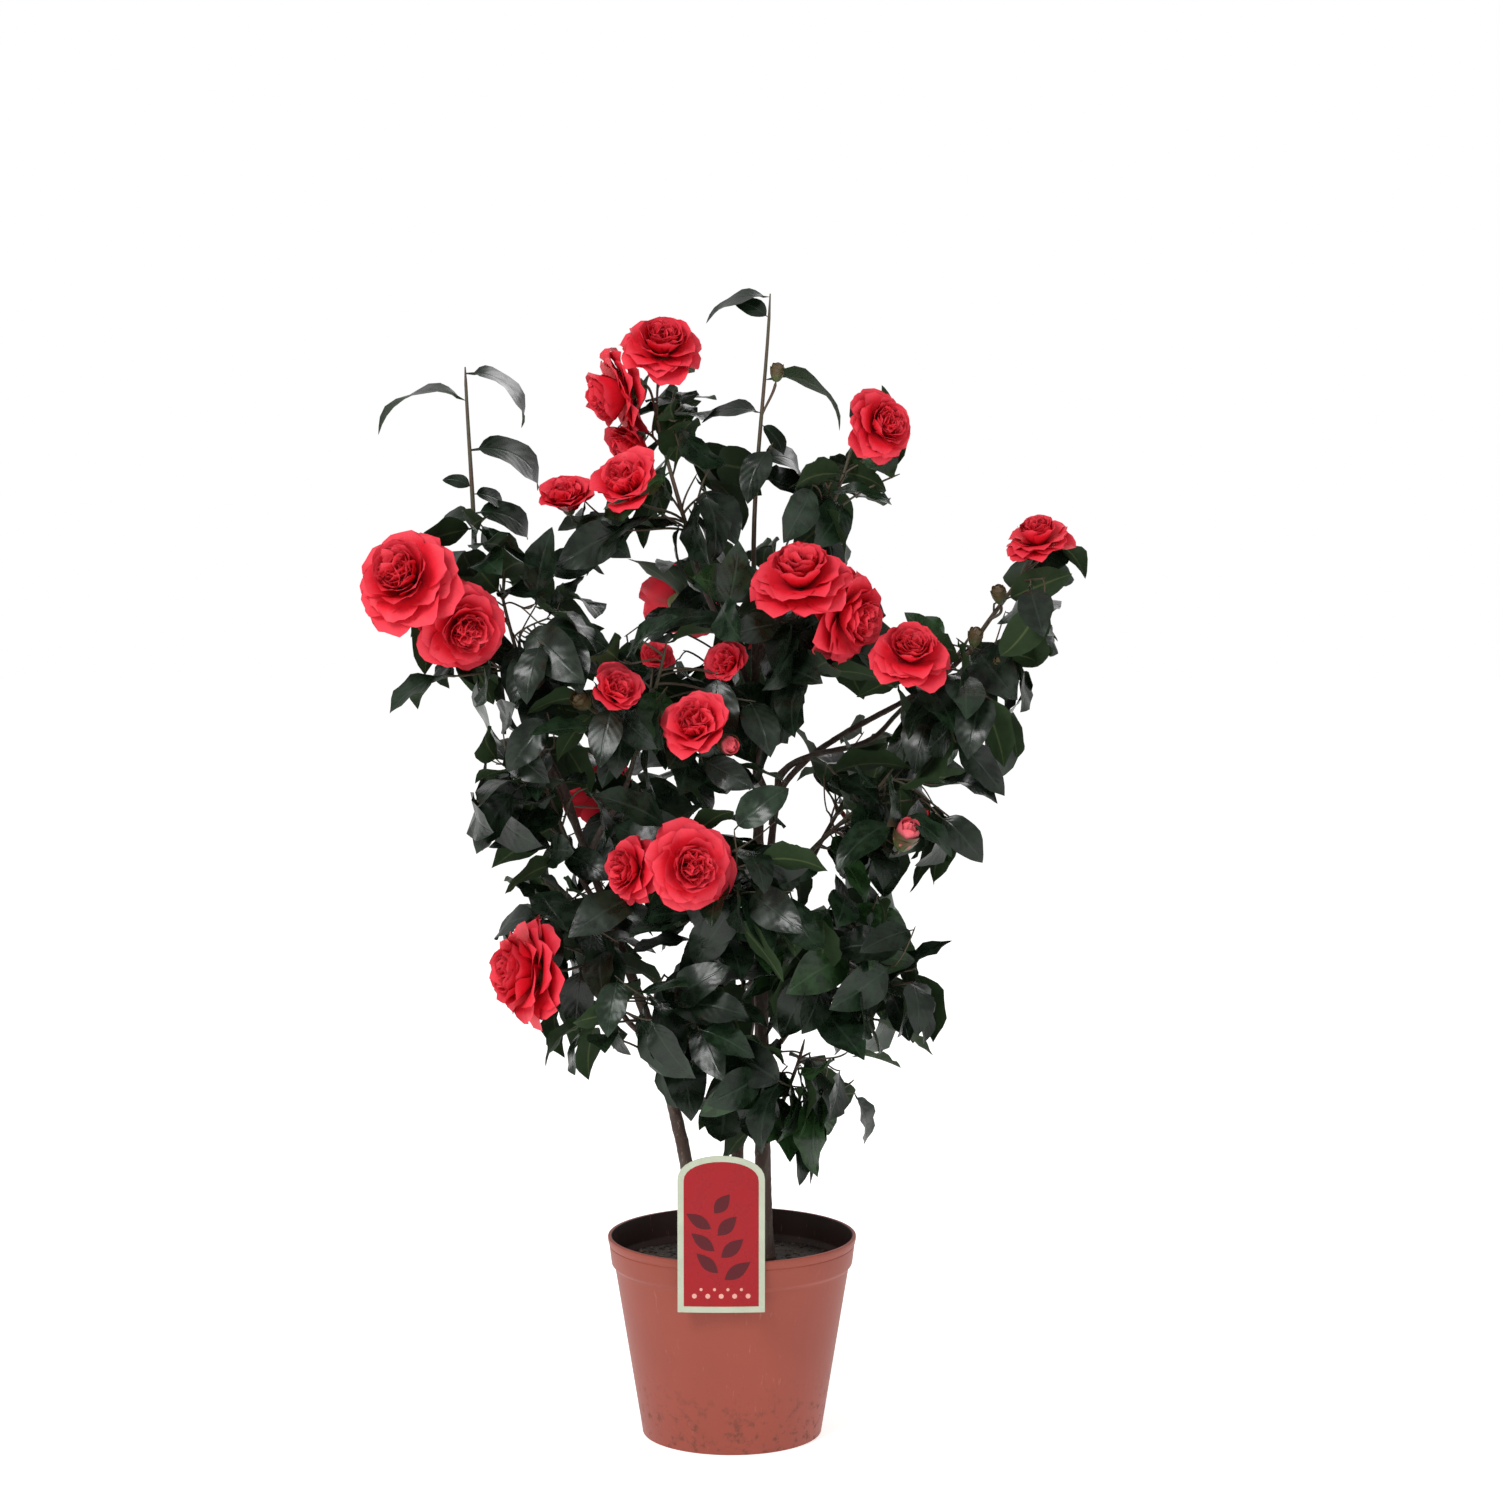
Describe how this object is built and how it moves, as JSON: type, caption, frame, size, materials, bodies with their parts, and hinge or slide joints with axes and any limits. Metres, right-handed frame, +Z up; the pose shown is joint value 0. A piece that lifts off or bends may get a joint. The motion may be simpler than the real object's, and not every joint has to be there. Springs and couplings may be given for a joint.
{
  "type": "camellia shrub in a nursery pot",
  "caption": "Evergreen flowering shrub with glossy leaves and double red blooms, on woody stems in a tapered terracotta-coloured pot with a picture label on its rim.",
  "frame": {"origin": "centre of the flat underside of the pot", "axes": "+Z up, +X to the right of a viewer who faces the label, +Y away from that viewer"},
  "size_m": [0.6553, 0.3992, 1.0522],
  "materials": {
    "terracotta": "matt moulded terracotta-coloured plastic",
    "soil": "damp dark potting compost",
    "card": "glossy printed plastic card, red with a pale border",
    "bark": "smooth to finely ridged reddish brown bark",
    "foliage": "very dark glossy green leaves and coral red double blooms"
  },
  "bodies": {
    "root": {"pot": "terracotta", "soil": "soil", "label": "card", "main_stem": "bark", "left_stem": "bark", "back_stem": "bark", "left_leader_bough": "bark", "left_crown_bough": "bark", "upper_left_bough": "bark", "upper_right_bough": "bark", "centre_crown_bough": "bark", "right_crown_bough": "bark", "right_leader_bough": "bark", "heart_bough": "bark", "left_flank_bough": "bark", "right_flank_bough": "bark", "lower_left_bough": "bark", "lower_front_bough": "bark", "lower_right_bough": "bark", "left_skirt_bough": "bark", "right_skirt_bough": "bark", "back_crown_bough": "bark", "back_left_bough": "bark", "back_right_bough": "bark", "back_skirt_bough": "bark", "centre_leader": "foliage", "left_leader": "foliage", "left_crown": "foliage", "upper_left": "foliage", "upper_right": "foliage", "centre_crown": "foliage", "right_crown": "foliage", "right_leader": "foliage", "heart": "foliage", "left_flank": "foliage", "right_flank": "foliage", "lower_left": "foliage", "lower_front": "foliage", "lower_right": "foliage", "left_skirt": "foliage", "right_skirt": "foliage", "back_crown": "foliage", "back_left": "foliage", "back_right": "foliage", "back_skirt": "foliage"}
  },
  "joints": []
}
